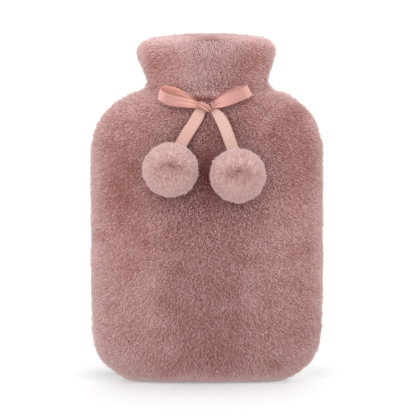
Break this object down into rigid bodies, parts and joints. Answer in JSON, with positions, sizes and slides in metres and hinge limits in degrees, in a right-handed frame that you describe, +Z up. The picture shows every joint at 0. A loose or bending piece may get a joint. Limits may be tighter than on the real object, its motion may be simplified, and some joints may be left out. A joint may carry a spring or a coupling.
{
  "type": "hot water bottle cover",
  "caption": "Plush cover for a hot water bottle with an open mouth, standing upright, with a ribbon bow and pompoms on its front.",
  "frame": {"origin": "on the floor under the middle of the cover, in the plane of the side seams, on the flat foot", "axes": "+Z up towards the mouth, +Y towards the back, with the bow and pompoms on the -Y side, +X to the right seen from the front"},
  "size_m": [0.2285, 0.1132, 0.34],
  "materials": {
    "plush": "dusty rose long-pile plush",
    "pale_plush": "pale pink long-pile plush",
    "satin": "peach satin ribbon"
  },
  "bodies": {
    "root": {"cover_front": "plush", "cover_back": "plush", "ribbon_bow": "satin", "pompom_left": "pale_plush", "pompom_right": "pale_plush"}
  },
  "joints": []
}
